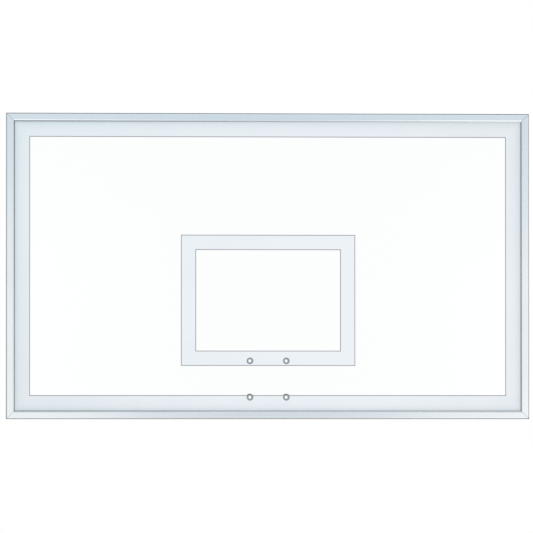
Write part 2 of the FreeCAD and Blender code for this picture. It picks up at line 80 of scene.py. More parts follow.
_, RAIL_FACE, _, RAIL_DEPTH = inward_and_back("bottom_rail")
SEAL_OUTER, SEAL_INNER, LIP_THICKNESS, CHANNEL_REAR = inward_and_back("bottom_gasket")
GLASS_EDGE, _, GLASS_FRONT, GLASS_REAR = inward_and_back("glass_panel")
BORDER_EDGE, _, MARKING_FRONT, _ = inward_and_back("border_stripe")
TARGET_LOW, TARGET_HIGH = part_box("target_stripe")
TARGET_HALF_WIDTH = TARGET_HIGH.x
TARGET_HALF_HEIGHT = (TARGET_HIGH.z - TARGET_LOW.z) / 2
TARGET_MIDDLE = (TARGET_HIGH.z + TARGET_LOW.z) / 2

# The sides in the order of quarter turns from the bottom, level and upright by turns
SIDES = ("bottom", "right", "top", "left")
# The places of what repeats
PLACES = ("upper_left", "upper_right", "lower_left", "lower_right")
CORNERS = ("bottom_left", "bottom_right", "top_right", "top_left")

# How finely round stretches are drawn, and how far from an arc's ends its support points stand
ARC_STEPS = 8
HOLE_STEPS = 96
SUPPORT_OFFSET = 0.00012
# Points of a section that lie nearer than this are one point
SAME_POINT = 1e-7
# An edge that turns by more than this looks sharp
SHARP_ANGLE = math.radians(25)
# Easing a solid: the digits that joined points agree to, how far from flat a face may be, and an edge's steps
JOINING_DIGITS = 6
FLAT_ANGLE = math.radians(0.5)
EASE_STEPS = 3
# Air between a marking's rear face and the glass, so that the two faces don't coincide
MARKING_AIR = 0.00003

# Rail finish: how much smoother and rougher its patches are
SMOOTHER = 0.03
ROUGHER = 0.04
# Its draw lines: the range of their noise, the tones and roughness that it gives, and lines to the metre
LINE_RANGE = (0.3, 0.7)
LINE_TONES = (0.94, 1.0)
LINE_ROUGHNESS = 0.06
LINES_ALONG = 3.0
LINES_ACROSS = 900.0
# Grain and bump of the seals' rubber
RUBBER_GRAIN = {"patch_scale": 14.0, "grain_scale": 900.0}
RUBBER_BUMP = {"strength": 0.25, "distance": 0.0002}
# Smears on the glass: a turn of their noise in its plane, and how much finer they are across than along
SMEAR_TURN = 0.6
SMEAR_FINER = 5.0

# The card that the rails reflect: its edges, its fading rim, its brightness and what its parts add to that
CARD_HALF_WIDTH = 2.1
CARD_LOW = -2.4
CARD_HIGH = 1.3
CARD_RIM = 0.35
CARD_GLOW = 1.1
CARD_SIDE_GAIN = -0.25
CARD_CORNER_GAIN = 0.16
CARD_FOOT_GAIN = 0.3

# The floor: its radius, its grid, and the shares of its radius where it begins, starts to fade and is gone
FLOOR_RADIUS = 5.0
FLOOR_RINGS = 24
FLOOR_SPOKES = 96
FLOOR_HUB = 0.02
FLOOR_FADES = 0.45
FLOOR_GONE = 0.95

# The camera's sensor, in millimetres, and how far it sees
SENSOR_WIDTH = 36.0
CAMERA_REACH = 100.0

WHITE = (1.0, 1.0, 1.0)


def length_property(name, description, default):
    return bpy.props.FloatProperty(name=name, description=description, default=default, min=0.0,
                                   precision=5, unit="LENGTH")


def share_property(name, description, default):
    return bpy.props.FloatProperty(name=name, description=description, default=default, min=0.0, max=1.0,
                                   subtype="FACTOR")


def pair_property(name, description, default):
    return bpy.props.FloatVectorProperty(name=name, description=description, default=default, size=2,
                                         min=0.0, max=1.0)


def colour_property(name, description, default):
    return bpy.props.FloatVectorProperty(name=name, description=description, default=default, size=3,
                                         min=0.0, max=1.0, subtype="COLOR")


def angle_property(name, description, degrees):
    return bpy.props.FloatProperty(name=name, description=description, default=math.radians(degrees),
                                   subtype="ANGLE")


def power_property(name, description, default):
    return bpy.props.FloatProperty(name=name, description=description, default=default, min=0.0, unit="POWER")


class RailProperties(bpy.types.PropertyGroup):
    """Sizes and finish of the frame's rails."""
    front_radius: length_property("Front Edge", "Rounding of the rail's outer front edge", 0.004)
    rear_radius: length_property("Rear Edge", "Rounding of the rail's rear edges", 0.0015)
    lip_radius: length_property("Lip Edge", "Rounding of the lips' small edges", 0.0005)
    bevel_width: length_property("Bevel Width", "Width of the bevel along the front lip", 0.0045)
    bevel_drop: length_property("Bevel Drop", "Depth of that bevel at the lip's inner edge", 0.0015)
    outer_wall: length_property("Outer Wall", "Thickness of the outer wall", 0.004)
    wall: length_property("Wall", "Thickness of the walls round the chamber", 0.003)
    chamber_radius: length_property("Chamber Corner", "Rounding of the chamber's corners", 0.001)
    mitre_gap: length_property("Mitre Gap", "Gap between two rails at a mitre", 0.0004)
    mitre_ease: length_property("Mitre Ease", "Eased edge of a mitred end, less than the Lip Edge", 0.0004)
    pale: colour_property("Pale Anodising", "Lighter tone of the anodised surface", (0.91, 0.925, 0.94))
    deep: colour_property("Deep Anodising", "Darker tone of the anodised surface", (0.88, 0.905, 0.925))
    roughness: share_property("Roughness", "Middle roughness of the satin surface", 0.21)


class SealProperties(bpy.types.PropertyGroup):
    """Sizes and finish of the rubber channel seals."""
    bead_radius: length_property("Bead", "Rounding of the bead that shows beside the rail", 0.0016)
    colour: colour_property("Rubber", "Colour of the rubber", (0.040, 0.046, 0.045))
    bloom: colour_property("Bloom", "Colour of the pale bloom on old rubber", (0.075, 0.083, 0.080))
    # The pale coat on the level seals. On the top seal it is painted highlight, light caught on the rubber
    # bead. On the bottom seal it makes the rubber paler towards the right.
    dust_and_sheen: colour_property("Dust And Sheen", "Colour of the dust on the level seals", (0.74, 0.76, 0.75))
    bottom_paling: pair_property("Bottom Paling", "Share of dust at the seal's left and right end", (0.10, 0.38))
    top_painted_sheen: pair_property("Top Painted Sheen", "Share of dust at the seal's left and right end", (0.05, 0.97))


class MarkingProperties(bpy.types.PropertyGroup):
    """Sizes and colours of the fired markings."""
    border_inset: length_property("Border", "From the board's edge to the border stripe's inner edge", 0.0835)
    target_stripe: length_property("Target Stripe", "Width of the target's stripe", 0.053)
    bushing_air: length_property("Bushing Air", "Clear glass between a marking and a bushing", 0.0006)
    key_width: length_property("Key Line Width", "Width of the grey line along the markings' edges", 0.0027)
    enamel: colour_property("Enamel", "Colour of the white enamel", (0.84, 0.87, 0.91))
    enamel_thin: colour_property("Thin Enamel", "Colour where the enamel is thinner", (0.82, 0.852, 0.895))
    key: colour_property("Key Line", "Colour of the line along the edges", (0.30, 0.285, 0.32))
    # The film along the seal is painted shade: the darkening that the rails' lips cast on the enamel beside
    # the seal, painted into its colour.
    painted_shade: colour_property("Painted Shade", "Colour of the greyish film along the seal", (0.60, 0.69, 0.745))
    painted_shade_strength: share_property("Painted Shade Strength", "How much of the film shows beside the seal", 0.62)
    painted_shade_reach: length_property("Painted Shade Reach", "Where about a third of the film is left", 0.015)


class GlassProperties(bpy.types.PropertyGroup):
    """Sizes and finish of the pane."""
    corner_radius: length_property("Corner", "Rounding of the pane's corners", 0.003)
    arris: length_property("Arris", "Width of the polished chamfer round the pane's edges", 0.001)
    hole: length_property("Goal Hole", "Diameter of the holes drilled for the goal bushings", 0.01905)
    tint: colour_property("Tint", "Colour that the pane gives to light", (0.99, 1.0, 0.996))
    ior: bpy.props.FloatProperty(name="IOR", description="Index of refraction", default=1.52, min=1.0)


class HardwareProperties(bpy.types.PropertyGroup):
    """Bracket edges, and finishes of the bushings, brackets, fasteners and hidden pieces."""
    bracket_ease: length_property("Bracket Edge", "Width of the eased edges of the brackets' plate", 0.0006)
    nylon: colour_property("Nylon", "Colour of the goal bushings", (0.295, 0.325, 0.320))
    zinc: colour_property("Zinc", "Colour of the zinc plating", (0.66, 0.68, 0.70))
    zinc_dull: colour_property("Dull Zinc", "Colour of the plating where it has dulled", (0.52, 0.55, 0.57))
    cast: colour_property("Casting", "Colour of the cast corner keys", (0.60, 0.61, 0.62))
    block: colour_property("Blocks", "Colour of the setting blocks' rubber", (0.035, 0.035, 0.036))


class StageProperties(bpy.types.PropertyGroup):
    """Camera, light and floor."""
    distance: length_property("Camera Distance", "From the camera to the board's front", 26.0)
    view_width: length_property("View Width", "Width of the picture at the board's front", 1.8591)
    turn: angle_property("Camera Turn", "How far the camera stands to the left", 4.0)
    lift: angle_property("Camera Lift", "How far the camera stands above the board's middle", -1.1)
    aim: bpy.props.FloatVectorProperty(name="Aim", description="X and Z at the middle of the picture",
                                       default=(-0.0064, -0.0012), size=2, unit="LENGTH")
    floor_drop: length_property("Floor Drop", "From the board's lower edge down to the floor", 2.9)
    fill: share_property("Fill", "Level of the even light from all round", 0.70)
    card_gap: length_property("Card Distance", "From the board's front to the card that it reflects", 3.0)
    low_middle: colour_property("Card Low Middle", "Tone of the card's lower middle", (0.635, 0.685, 0.725))
    low_sides: colour_property("Card Low Sides", "Tone of the card's lower sides", WHITE)
    high_middle: colour_property("Card High Middle", "Tone of the card's upper middle", (0.585, 0.695, 0.775))
    high_sides: colour_property("Card High Sides", "Tone of the card's upper sides", (0.675, 0.775, 0.84))
    key_power: power_property("Key", "Power of the lamp in front", 23.0)
    window_power: power_property("Window", "Power of the cool lamp at the upper left", 3.2)
    rear_power: power_property("Rear", "Power of the lamp behind", 110.0)


def rounded_section(corners):
    """A closed section through (inward, back, radius) corners.

    Each corner becomes an arc that touches both sides: its middle lies on the corner's bisector, at the
    radius over the sine of half the corner's angle, and its points turn evenly from one touching point to
    the other. A support point stands just outside each end of the arc, which keeps the flat sides flat in
    shading.
    """
    corners = np.asarray(corners, float)
    point, radius = corners[:, :2], corners[:, 2:]
    back = np.roll(point, 1, axis=0) - point
    ahead = np.roll(point, -1, axis=0) - point
    back /= np.linalg.norm(back, axis=1, keepdims=True)
    ahead /= np.linalg.norm(ahead, axis=1, keepdims=True)
    half_angle = np.arccos(np.clip((back * ahead).sum(axis=1, keepdims=True), -1, 1)) / 2
    bisector = back + ahead
    bisector /= np.linalg.norm(bisector, axis=1, keepdims=True)
    setback = radius / np.tan(half_angle)
    middle = point + bisector * radius / np.sin(half_angle)
    start = (point + back * setback - middle)[:, None]
    end = (point + ahead * setback - middle)[:, None]
    turn = (np.pi - 2 * half_angle)[:, None]
    share = np.linspace(0, 1, ARC_STEPS + 1)[None, :, None]
    arc = (np.sin((1 - share) * turn) * start + np.sin(share * turn) * end) / np.sin(turn) + middle[:, None]
    before = (point + back * (setback + SUPPORT_OFFSET))[:, None]
    after = (point + ahead * (setback + SUPPORT_OFFSET))[:, None]
    loop = np.concatenate([before, arc, after], axis=1).reshape(-1, 2)
    apart = np.linalg.norm(loop - np.roll(loop, 1, axis=0), axis=1) > SAME_POINT
    return loop[apart]


def wound(loop, way):
    """The loop with a positive or negative area, which is half the sum of its points' cross products."""
    x, y = loop[:, 0], loop[:, 1]
    double_area = (x * np.roll(y, -1) - np.roll(x, -1) * y).sum()
    return loop if double_area * way > 0 else loop[::-1]


def wound_section(loops):
    """An outer loop that runs one way round, and its holes that run the other way."""
    return [wound(loop, 1 if number == 0 else -1) for number, loop in enumerate(loops)]


def new_object(name, points, faces):
    """A smooth-shaded mesh at the origin, in the scene."""
    mesh = bpy.data.meshes.new(name)
    mesh.from_pydata(points, [], faces)
    mesh.shade_smooth()
    made = bpy.data.objects.new(name, mesh)
    bpy.context.scene.collection.objects.link(made)
    return made


def carried_piece(name, sections, place):
    """A closed solid: loops of points carried from one section to the next, with both ends filled.

    Each section is an outer loop and its holes, and all sections have as many points. place(points, number)
    gives a section's points in space. Each pair of neighbours on a loop makes one four-sided face to the next
    section. The end fill comes turned against its outer loop, so it is turned back. All faces are turned over
    together if the solid's volume, a sixth of the sum of the triple products of its triangles' corners, comes
    out negative.
    """
    sections = [wound_section(section) for section in sections]
    lengths = [len(loop) for loop in sections[0]]
    placed = [place(np.concatenate(section), number) for number, section in enumerate(sections)]
    points = np.concatenate(placed)
    count = sum(lengths)
    starts = np.repeat(np.cumsum([0] + lengths[:-1]), lengths)
    following = np.concatenate([np.roll(np.arange(length), -1) for length in lengths]) + starts
    here = np.arange(count)
    ring = np.stack([here, following, following + count, here + count], axis=1)
    walls = np.concatenate([ring + number * count for number in range(len(sections) - 1)])
    fill = np.array(tessellate_polygon([loop.tolist() for loop in sections[0]]))[:, ::-1]
    ends = np.concatenate([fill[:, ::-1], fill + count * (len(sections) - 1)])
    triangles = np.concatenate([walls[:, [0, 1, 2]], walls[:, [0, 2, 3]], ends])
    a, b, c = (points[triangles[:, corner]] for corner in range(3))
    turned_over = (np.cross(a, b) * c).sum() < 0
    order = slice(None, None, -1 if turned_over else 1)
    piece = new_object(name, points.tolist(), walls[:, order].tolist() + ends[:, order].tolist())
    piece.data.set_sharp_from_angle(angle=SHARP_ANGLE)
    return piece


def narrowed(loop, ease):
    """A loop with each point moved into the solid by a width, square to the line through its neighbours."""
    along = np.roll(loop, -1, axis=0) - np.roll(loop, 1, axis=0)
    along /= np.linalg.norm(along, axis=1, keepdims=True)
    return loop + ease * np.stack([-along[:, 1], along[:, 0]], axis=1)


def mitred_piece(name, side, loops, gap, ease=0):
    """Sections carried along one side of the board between two 45 degree mitres.

    Each section point ends half the gap before the mitre, which lies as far from the corner as the point lies
    inward. Where the ends are eased, narrowed sections stand there, and full ones as far before them as the
    ease is wide. The bottom side is turned about Y by one quarter for each step to the other sides.
    """
    full = wound_section(loops)
    stations = [(full, -1, 0), (full, 1, 0)]
    if ease:
        small = [narrowed(loop, ease) for loop in full]
        stations = [(small, -1, 0), (full, -1, ease), (full, 1, ease), (small, 1, 0)]
    quarters = SIDES.index(side)
    half_length, half_across = (HALF_WIDTH, HALF_HEIGHT) if quarters % 2 == 0 else (HALF_HEIGHT, HALF_WIDTH)
    cosine, sine = ((1, 0), (0, -1), (-1, 0), (0, 1))[quarters]

    def place(points, number):
        inward, back = points[:, 0], points[:, 1]
        _, end, before = stations[number]
        x = end * (half_length - (gap / 2 + before) * math.sqrt(2) - inward)
        z = inward - half_across
        return np.stack([x * cosine + z * sine, FRONT + back, z * cosine - x * sine], axis=1)

    return carried_piece(name, [section for section, _, _ in stations], place)


def upright_piece(name, sections, depths):
    """Outlines in X and Z carried straight back, each section at its own depth behind the board's front."""
    def place(points, number):
        y = np.full(len(points), FRONT + depths[number])
        return np.stack([points[:, 0], y, points[:, 1]], axis=1)

    return carried_piece(name, sections, place)


def marking_piece(name, loops):
    """A stripe's outlines carried through its thickness."""
    return upright_piece(name, [loops, loops], (MARKING_FRONT, GLASS_FRONT - MARKING_AIR))


def eased_piece(name, node, width):
    """A node's solid with its sharp edges eased.

    The corners of its loose triangles are joined where they coincide, triangles in one plane become one face,
    and each edge that turns by more than the sharp angle is bevelled in a rounded way to a width.
    """
    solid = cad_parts[node].data
    points = np.empty(3 * len(solid.vertices))
    solid.vertices.foreach_get("co", points)
    corners = np.empty(3 * len(solid.polygons), int)
    solid.polygons.foreach_get("vertices", corners)
    joined, number = np.unique(points.reshape(-1, 3).round(JOINING_DIGITS), axis=0, return_inverse=True)
    piece = new_object(name, joined.tolist(), number.reshape(-1)[corners].reshape(-1, 3).tolist())
    flat = piece.modifiers.new("flat_faces", "DECIMATE")
    flat.decimate_type = "DISSOLVE"
    flat.angle_limit = FLAT_ANGLE
    ease = piece.modifiers.new("eased_edges", "BEVEL")
    ease.width = width
    ease.segments = EASE_STEPS
    ease.limit_method = "ANGLE"
    ease.angle_limit = SHARP_ANGLE
    ease.harden_normals = True
    return piece


def rectangle(half_width, half_height, middle):
    return np.array([(-half_width, middle - half_height), (half_width, middle - half_height),
                     (half_width, middle + half_height), (-half_width, middle + half_height)])


def arc_points(x, z, radius, start, end, steps):
    """Points round a centre at one radius, evenly from one angle to another."""
    angle = np.linspace(start, end, steps)
    return np.stack([x + radius * np.cos(angle), z + radius * np.sin(angle)], axis=1)


def circle(x, z, radius):
    """A whole turn of arc points, without the last one, which repeats the first."""
    return arc_points(x, z, radius, 0, 2 * math.pi, HOLE_STEPS + 1)[:-1]


def bushing_circles(row, air):
    """(x, z, radius) of the clear circles round the two bushings of a row."""
    circles = []
    for side in ("left", "right"):
        low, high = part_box("goal_bushing_" + row + "_" + side)
        middle = (low + high) / 2
        circles.append((middle.x, middle.z, (high.x - low.x) / 2 + air))
    return circles


def stands_for(piece, node, material):
    """Puts a new piece in a node's place, on the part's one body."""
    piece.data.materials.append(material)
    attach(piece, "root")
    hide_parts(node)


def dress(names, material):
    """Gives nodes of the frame a material."""
    for name in names:
        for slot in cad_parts[name].material_slots:
            slot.material = material


def toned(colour, share):
    """A colour made darker or paler by a share."""
    return tuple(share * value for value in colour)


def set_inputs(tree, node, inputs):
    """Gives a node's inputs values or other nodes' outputs. A colour is opaque."""
    for name, value in inputs.items():
        socket = node.inputs[name]
        if isinstance(value, bpy.types.NodeSocket):
            tree.links.new(value, socket)
        elif socket.type == "RGBA":
            socket.default_value = (*value, 1.0)
        else:
            socket.default_value = value


def add(tree, kind, inputs, **settings):
    """A shader node with its settings and inputs."""
    made = tree.nodes.new("ShaderNode" + kind)
    for name, value in settings.items():
        setattr(made, name, value)
    set_inputs(tree, made, inputs)
    return made


def reckon(tree, operation, *values):
    """A sum on single values."""
    return add(tree, "Math", dict(enumerate(values)), operation=operation).outputs[0]


def weighed(tree, first, second, share):
    """Two values added up, the second by a share and the first by what is left of one."""
    return reckon(tree, "MULTIPLY_ADD", first, 1 - share, reckon(tree, "MULTIPLY", second, share))


def carried_over(tree, value, old, new):
    """A value taken evenly from one range to another."""
    return add(tree, "MapRange", {"Value": value, "From Min": old[0], "From Max": old[1],
                                  "To Min": new[0], "To Max": new[1]}).outputs[0]


def ramp(tree, value, low, high):
    """A value's smooth rise from nil at one end of a range to one at the other."""
    return add(tree, "MapRange", {"Value": value, "From Min": low, "From Max": high},
               interpolation_type="SMOOTHSTEP").outputs[0]


def blended(tree, factor, first, second, blend_type="MIX"):
    """One colour mixed over another. The Mix node has its factor and its two colours at inputs 0, 6 and 7."""
    inputs = {0: factor, 6: first, 7: second}
    return add(tree, "Mix", inputs, data_type="RGBA", blend_type=blend_type).outputs[2]


def cleared(tree, share, shader, tint=WHITE):
    """A shader that gives way to clear by a share, shown as the material's surface."""
    clear = add(tree, "BsdfTransparent", {"Color": tint})
    mixed = add(tree, "MixShader", {0: share, 1: shader.outputs[0], 2: clear.outputs[0]})
    set_inputs(tree, tree.nodes["Material Output"], {"Surface": mixed.outputs[0]})


def drawn_lines(group, given):
    """Fine lines along one direction: noise stretched by a scale vector, coarse lines under fine ones."""
    vectors = {0: given["Vector"], 1: given["Scale"]}
    stretched = add(group, "VectorMath", vectors, operation="MULTIPLY").outputs[0]
    fine = add(group, "TexNoise", {"Vector": stretched, "Scale": 1.0, "Detail": 3.0, "Roughness": 0.6})
    coarse = add(group, "TexNoise", {"Vector": stretched, "Scale": 0.14, "Detail": 1.0})
    return {"Lines": weighed(group, fine.outputs[0], coarse.outputs[0], share=0.35)}


def mottled_finish(group, given):
    """Uneven tone of a used surface: cloudy patches with a finer grain, as colour, roughness and height."""
    patch = add(group, "TexNoise", {"Vector": given["Vector"], "Scale": given["Patch Scale"], "Detail": 4.0})
    grain = add(group, "TexNoise", {"Vector": given["Vector"], "Scale": given["Grain Scale"], "Detail": 2.0})
    spread = ramp(group, patch.outputs[0], low=0.32, high=0.68)
    share = weighed(group, grain.outputs[0], spread, share=0.7)
    colour = blended(group, share, given["First Color"], given["Second Color"])
    step = reckon(group, "SUBTRACT", given["Second Roughness"], given["First Roughness"])
    roughness = reckon(group, "MULTIPLY_ADD", step, share, given["First Roughness"])
    return {"Color": colour, "Roughness": roughness, "Height": grain.outputs[0]}


def past_rectangle(group, given):
    """How far a point lies past a rectangle in X and Z: the larger of the distances past its two sides."""
    place = add(group, "SeparateXYZ", {0: given["Vector"]}).outputs
    height = reckon(group, "ABSOLUTE", reckon(group, "SUBTRACT", place["Z"], given["Middle"]))
    past_x = reckon(group, "SUBTRACT", reckon(group, "ABSOLUTE", place["X"]), given["Half Width"])
    return reckon(group, "MAXIMUM", past_x, reckon(group, "SUBTRACT", height, given["Half Height"]))


def key_line(group, given):
    """A line just outside a rectangle: where the distance past it goes from nil to a width.

    A negative width puts the line just inside the rectangle.
    """
    share = reckon(group, "DIVIDE", past_rectangle(group, given), given["Line Width"])
    started = reckon(group, "GREATER_THAN", share, 0.0)
    ended = reckon(group, "LESS_THAN", share, 1.0)
    return {"Mask": reckon(group, "MULTIPLY", started, ended)}


def painted_seal_shade(group, given):
    """Painted shade along the inside of a rectangle, where the rails' lips shade the enamel: e to the power
    of minus the distance from it over a reach.
    """
    share = reckon(group, "DIVIDE", past_rectangle(group, given), given["Reach"])
    return {"Mask": reckon(group, "EXPONENT", reckon(group, "MINIMUM", share, 0.0))}


# The shared effects: what joins each one's nodes, and its inputs and outputs
RECTANGLE_INPUTS = {"Vector": "Vector", "Half Width": "Float", "Half Height": "Float", "Middle": "Float"}
MOTTLED_INPUTS = {"Vector": "Vector", "Patch Scale": "Float", "Grain Scale": "Float", "First Color": "Color",
                  "Second Color": "Color", "First Roughness": "Float", "Second Roughness": "Float"}
MOTTLED_OUTPUTS = {"Color": "Color", "Roughness": "Float", "Height": "Float"}
EFFECTS = {
    "Drawn Lines": (drawn_lines, {"Vector": "Vector", "Scale": "Vector"}, {"Lines": "Float"}),
    "Mottled Finish": (mottled_finish, MOTTLED_INPUTS, MOTTLED_OUTPUTS),
    "Key Line": (key_line, {**RECTANGLE_INPUTS, "Line Width": "Float"}, {"Mask": "Float"}),
    # Painted shade on the enamel beside the seal
    "Painted Seal Shade": (painted_seal_shade, {**RECTANGLE_INPUTS, "Reach": "Float"}, {"Mask": "Float"}),
}


def effect(tree, name, inputs):
    """The outputs of a shared effect for a material's inputs. Its group is built at its first use."""
    if name not in bpy.data.node_groups:
        join, given, results = EFFECTS[name]
        group = bpy.data.node_groups.new(name, "ShaderNodeTree")
        for way, sockets in (("INPUT", given), ("OUTPUT", results)):
            for label, kind in sockets.items():
                group.interface.new_socket(name=label, in_out=way, socket_type="NodeSocket" + kind)
        joined = join(group, group.nodes.new("NodeGroupInput").outputs)
        set_inputs(group, group.nodes.new("NodeGroupOutput"), joined)
    return add(tree, "Group", inputs, node_tree=bpy.data.node_groups[name]).outputs


def new_material(name):
    """A material with its Principled shader and its Object coordinates."""
    material = bpy.data.materials.new(name)
    material.use_nodes = True
    tree = material.node_tree
    return material, tree, tree.nodes["Principled BSDF"], add(tree, "TexCoord", {}).outputs["Object"]


def feed(tree, shader, colour, roughness, height, strength, distance):
    """Joins a finish to a Principled shader, its height as a bump."""
    bump = add(tree, "Bump", {"Height": height, "Strength": strength, "Distance": distance}).outputs[0]
    set_inputs(tree, shader, {"Base Color": colour, "Roughness": roughness, "Normal": bump})


def mottled(tree, vector, colours, roughness, patch_scale, grain_scale):
    """A mottled finish between two colours and two roughnesses."""
    return effect(tree, "Mottled Finish", {
        "Vector": vector, "Patch Scale": patch_scale, "Grain Scale": grain_scale,
        "First Color": colours[0], "Second Color": colours[1],
        "First Roughness": roughness[0], "Second Roughness": roughness[1],
    })


def plain_finish(name, colours, roughness, patch_scale, grain_scale, strength, distance, metallic=0.0):
    """A material that is only mottled: mouldings, castings, rubber and plating."""
    material, tree, shader, place = new_material(name)
    finish = mottled(tree, place, colours, roughness, patch_scale, grain_scale)
    feed(tree, shader, finish["Color"], finish["Roughness"], finish["Height"], strength, distance)
    shader.inputs["Metallic"].default_value = metallic
    return material


def dust_and_sheen_finish(name, settings, shares):
    """Old rubber under a pale coat, whose share goes evenly from one at the board's left to one at its right.
    On the top seal the coat is painted highlight.
    """
    material, tree, shader, place = new_material(name)
    finish = mottled(tree, place, colours=(settings.colour, settings.bloom), roughness=(0.60, 0.80),
                     **RUBBER_GRAIN)
    # Pale coat over the rubber, growing towards the right: painted highlight on the top seal
    along = add(tree, "SeparateXYZ", {0: place}).outputs["X"]
    share = carried_over(tree, along, (-HALF_WIDTH, HALF_WIDTH), shares)
    colour = blended(tree, share, finish["Color"], settings.dust_and_sheen)
    feed(tree, shader, colour, finish["Roughness"], finish["Height"], **RUBBER_BUMP)
    return material


def anodised_finish(name, scale, settings):
    """Satin anodised aluminium, with draw lines along the rail."""
    material, tree, shader, place = new_material(name)
    low, high = settings.roughness - SMOOTHER, settings.roughness + ROUGHER
    finish = mottled(tree, place, colours=(settings.deep, settings.pale), roughness=(high, low),
                     patch_scale=3.0, grain_scale=160.0)
    lines = effect(tree, "Drawn Lines", {"Vector": place, "Scale": scale})["Lines"]
    tone = carried_over(tree, lines, LINE_RANGE, LINE_TONES)
    grey = add(tree, "CombineColor", {0: tone, 1: tone, 2: tone}).outputs[0]
    colour = blended(tree, 1.0, finish["Color"], grey, "MULTIPLY")
    roughness = reckon(tree, "MULTIPLY_ADD", lines, LINE_ROUGHNESS, finish["Roughness"])
    feed(tree, shader, colour, roughness, lines, strength=0.06, distance=0.0003)
    shader.inputs["Metallic"].default_value = 1.0
    return material


def enamel_finish(name, rectangles, settings):
    """White fired enamel, with painted shade beside the seal where the rails' lips shade it.

    A grey key line runs beside each rectangle of (half width, half height, middle, way).
    """
    material, tree, shader, place = new_material(name)
    finish = mottled(tree, place, colours=(settings.enamel_thin, settings.enamel), roughness=(0.34, 0.26),
                     patch_scale=7.0, grain_scale=420.0)
    # Painted shade: the enamel darkens towards the seal, where the rails' lips shade it.
    painted_shade = effect(tree, "Painted Seal Shade", {"Vector": place, "Half Width": HALF_WIDTH - SEAL_INNER,
                                      "Half Height": HALF_HEIGHT - SEAL_INNER, "Reach": settings.painted_shade_reach})
    share = reckon(tree, "MULTIPLY", painted_shade["Mask"], settings.painted_shade_strength)
    colour = blended(tree, share, finish["Color"], settings.painted_shade)
    for half_width, half_height, middle, way in rectangles:
        line = effect(tree, "Key Line", {
            "Vector": place, "Half Width": half_width, "Half Height": half_height, "Middle": middle,
            "Line Width": way * settings.key_width,
        })
        colour = blended(tree, line["Mask"], colour, settings.key)
    feed(tree, shader, colour, finish["Roughness"], finish["Height"], strength=0.04, distance=0.0004)
    return material


def glass_finish(settings):
    """Clear float glass with faint cleaning smears, which lets lamps' light through."""
    material, tree, shader, place = new_material("clear_glass")
    smeared = add(tree, "Mapping", {"Vector": place, "Rotation": (0.0, SMEAR_TURN, 0.0),
                                    "Scale": (1.0, 1.0, SMEAR_FINER)}).outputs[0]
    finish = mottled(tree, smeared, colours=(settings.tint, settings.tint), roughness=(0.0, 0.025),
                     patch_scale=2.2, grain_scale=35.0)
    set_inputs(tree, shader, {"Base Color": settings.tint, "Roughness": finish["Roughness"],
                              "IOR": settings.ior, "Transmission Weight": 1.0})
    cleared(tree, add(tree, "LightPath", {}).outputs["Is Shadow Ray"], shader, settings.tint)
    return material


class BackboardOperator(bpy.types.Operator):
    """What the makers share."""
    bl_options = {"REGISTER", "UNDO"}


class BACKBOARD_OT_rails(BackboardOperator):
    """Make the four mitred rails of the frame"""
    bl_idname = "backboard.rails"
    bl_label = "Frame Rails"

    def execute(self, context):
        rail = context.scene.backboard_rails
        section = rounded_section([
            (0, 0, rail.front_radius),
            (RAIL_FACE - rail.bevel_width, 0, rail.lip_radius),
            (RAIL_FACE, rail.bevel_drop, rail.lip_radius),
            (RAIL_FACE, LIP_THICKNESS, rail.lip_radius),
            (rail.outer_wall, LIP_THICKNESS, 0),
            (rail.outer_wall, CHANNEL_REAR, 0),
            (RAIL_FACE, CHANNEL_REAR, rail.lip_radius),
            (RAIL_FACE, RAIL_DEPTH, rail.rear_radius),
            (0, RAIL_DEPTH, rail.rear_radius),
        ])
        near, far = rail.outer_wall, RAIL_FACE - rail.wall
        front, rear = CHANNEL_REAR + rail.wall, RAIL_DEPTH - rail.wall
        corners = ((near, front), (far, front), (far, rear), (near, rear))
        chamber = rounded_section([(*corner, rail.chamber_radius) for corner in corners])
        level = anodised_finish("anodised_level", (LINES_ALONG, LINES_ACROSS, LINES_ACROSS), rail)
        upright = anodised_finish("anodised_upright", (LINES_ACROSS, LINES_ACROSS, LINES_ALONG), rail)
        loops = [section, chamber]
        for side, finish in zip(SIDES, (level, upright, level, upright)):
            piece = mitred_piece("frame_rail_" + side, side, loops, rail.mitre_gap, rail.mitre_ease)
            stands_for(piece, side + "_rail", finish)
        return {"FINISHED"}


class BACKBOARD_OT_seals(BackboardOperator):
    """Make the four rubber channel seals between the glass and the rails"""
    bl_idname = "backboard.seals"
    bl_label = "Channel Seals"

    def execute(self, context):
        seal = context.scene.backboard_seals
        section = rounded_section([
            (SEAL_OUTER, LIP_THICKNESS, 0),
            (SEAL_INNER, LIP_THICKNESS, seal.bead_radius),
            (SEAL_INNER, MARKING_FRONT, 0),
            (GLASS_EDGE, MARKING_FRONT, 0),
            (GLASS_EDGE, GLASS_REAR, 0),
            (SEAL_INNER, GLASS_REAR, 0),
            (SEAL_INNER, CHANNEL_REAR, seal.bead_radius),
            (SEAL_OUTER, CHANNEL_REAR, 0),
        ])
        upright = plain_finish("seal_rubber", colours=(seal.colour, seal.bloom), roughness=(0.52, 0.70),
                               **RUBBER_GRAIN, **RUBBER_BUMP)
        # The bottom seal grows paler towards the right. On the top seal the pale coat is painted highlight.
        bottom = dust_and_sheen_finish("bottom_seal_rubber", seal, seal.bottom_paling)
        top = dust_and_sheen_finish("painted_sheen_seal_rubber", seal, seal.top_painted_sheen)
        gap = context.scene.backboard_rails.mitre_gap
        for side, finish in zip(SIDES, (bottom, upright, top, upright)):
            piece = mitred_piece("channel_seal_" + side, side, [section], gap)
            stands_for(piece, side + "_gasket", finish)
        return {"FINISHED"}


